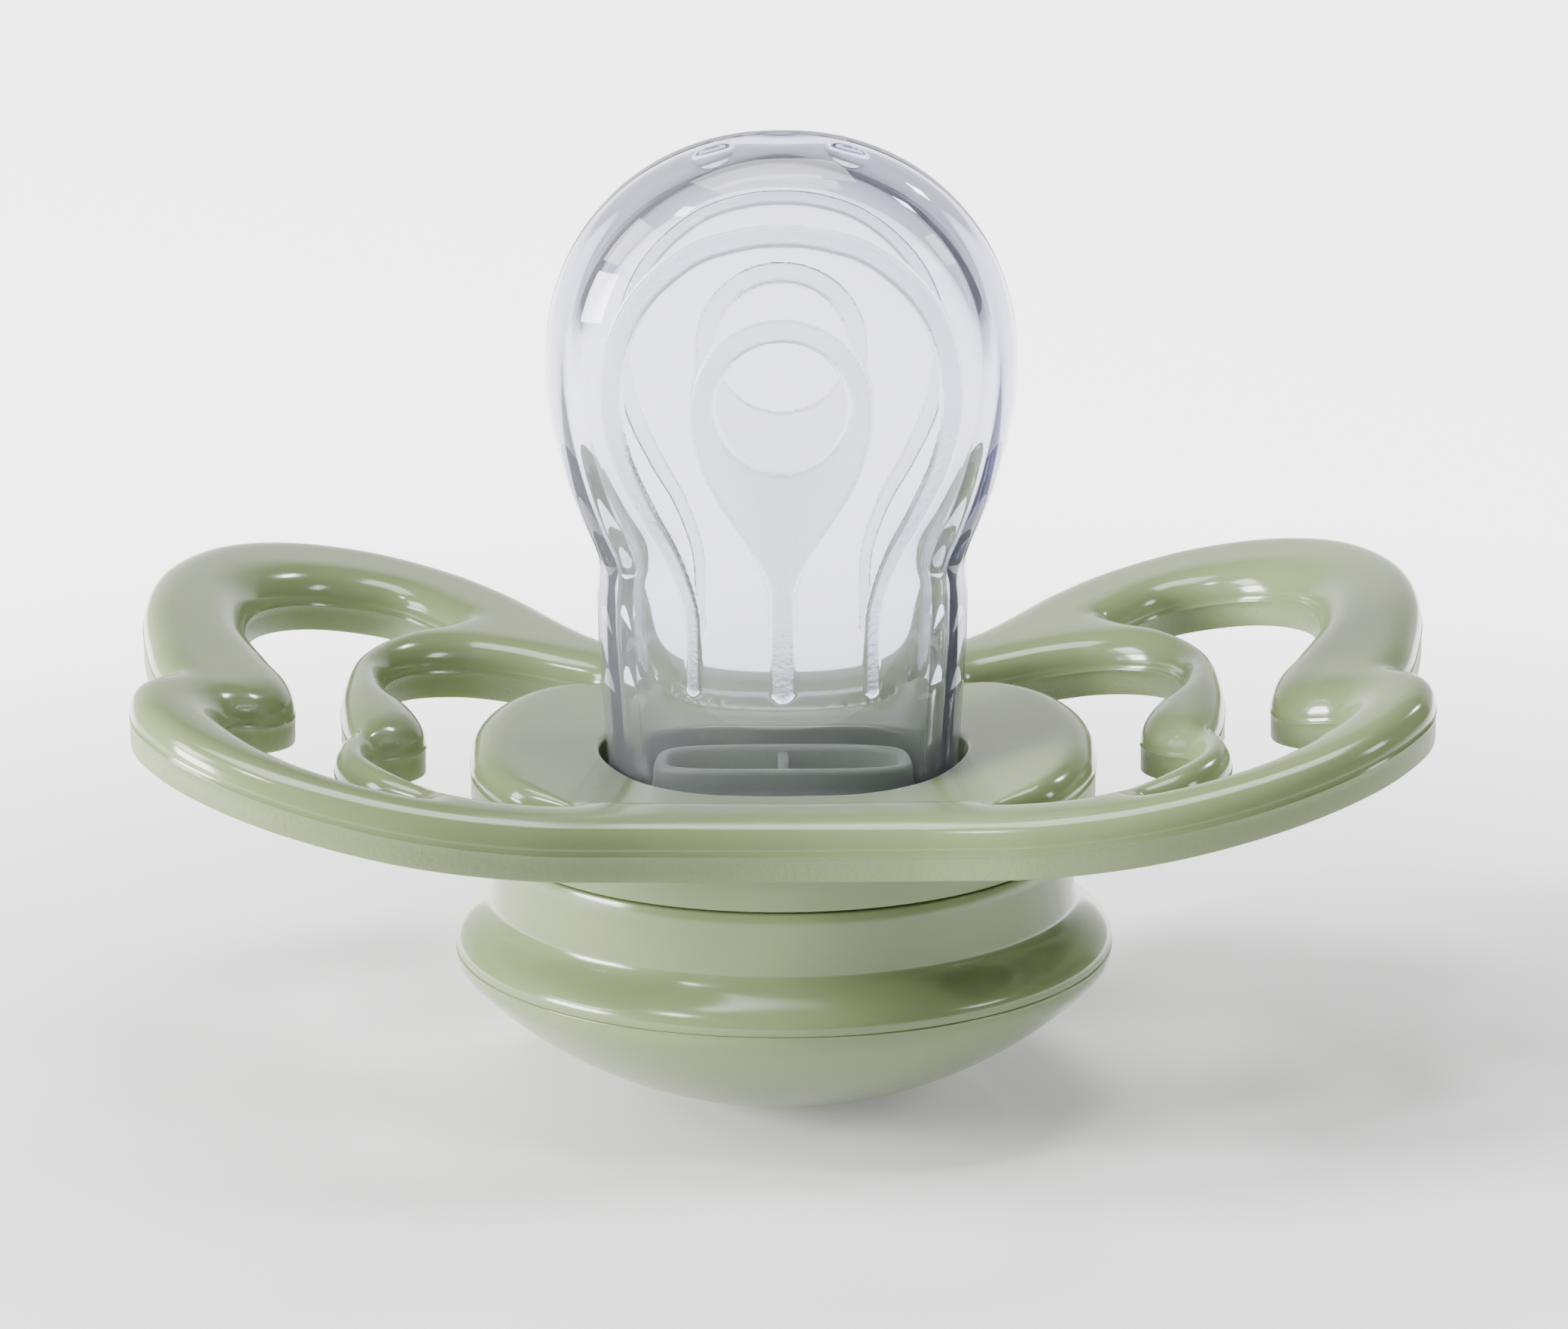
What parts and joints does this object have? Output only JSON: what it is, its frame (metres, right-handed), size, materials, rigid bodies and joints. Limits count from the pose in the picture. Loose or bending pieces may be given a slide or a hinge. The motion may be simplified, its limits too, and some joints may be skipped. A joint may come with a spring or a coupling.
{
  "type": "pacifier",
  "caption": "Baby pacifier with a butterfly-shaped open shield, a clear flattened silicone nipple and a round mushroom knob.",
  "frame": {"origin": "lowest point of the knob's dome, on the common axis of the knob and the nipple", "axes": "+Z from the knob to the nipple's tip, +X along the wings, +Y towards the baby's nose"},
  "size_m": [0.0538, 0.0389, 0.0408],
  "materials": {
    "shield_plastic": "glossy moulded sage green, fine matte texture on the lower edge wall",
    "nipple_silicone": "clear glossy silicone with frosted raised bands",
    "plug_plastic": "satin moulded grey green",
    "knob_plastic": "satin gloss moulded sage green",
    "cap_plastic": "satin gloss moulded sage green"
  },
  "bodies": {
    "root": {"shield": "shield_plastic", "nipple": "nipple_silicone", "inner_plug": "plug_plastic", "knob_body": "knob_plastic", "knob_cap": "cap_plastic"}
  },
  "joints": []
}
